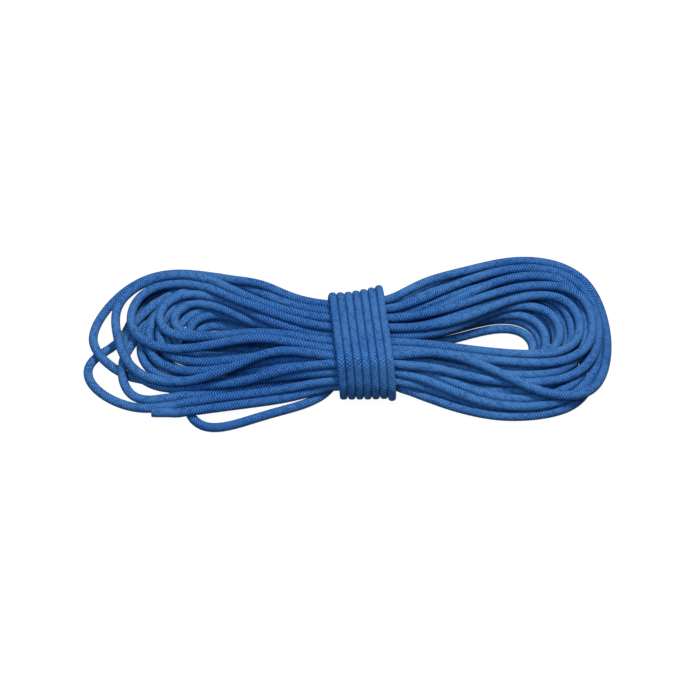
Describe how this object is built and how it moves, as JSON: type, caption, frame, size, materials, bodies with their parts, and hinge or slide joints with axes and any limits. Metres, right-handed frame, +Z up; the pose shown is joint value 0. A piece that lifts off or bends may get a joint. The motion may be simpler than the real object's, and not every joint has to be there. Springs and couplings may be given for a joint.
{
  "type": "dynamic climbing rope",
  "caption": "Braided climbing rope wound into a hank, tied at the waist with turns of its own end; it arrests falls by stretching.",
  "frame": {"origin": "on the surface that the hank lies on, under the middle of the waist wrap", "axes": "+X along the hank towards the open lobe, +Y to its back, +Z up from the surface"},
  "size_m": [0.5655, 0.2134, 0.0549],
  "materials": {
    "rope_sheath": "tight diamond braid of blue polyamide yarn with a soft satin sheen",
    "core_yarn": "white twisted polyamide core strands",
    "melted_end": "heat-fused sheath and core, dark and smooth"
  },
  "bodies": {
    "root": {"hank_loops": "rope_sheath", "waist_wrap": "rope_sheath", "wrap_lead": "rope_sheath", "front_tail": "rope_sheath", "back_tail": "rope_sheath", "front_tail_sheath": "rope_sheath", "front_tail_core": "core_yarn", "front_tail_seal": "melted_end", "back_tail_sheath": "rope_sheath", "back_tail_core": "core_yarn", "back_tail_seal": "melted_end"}
  },
  "joints": []
}
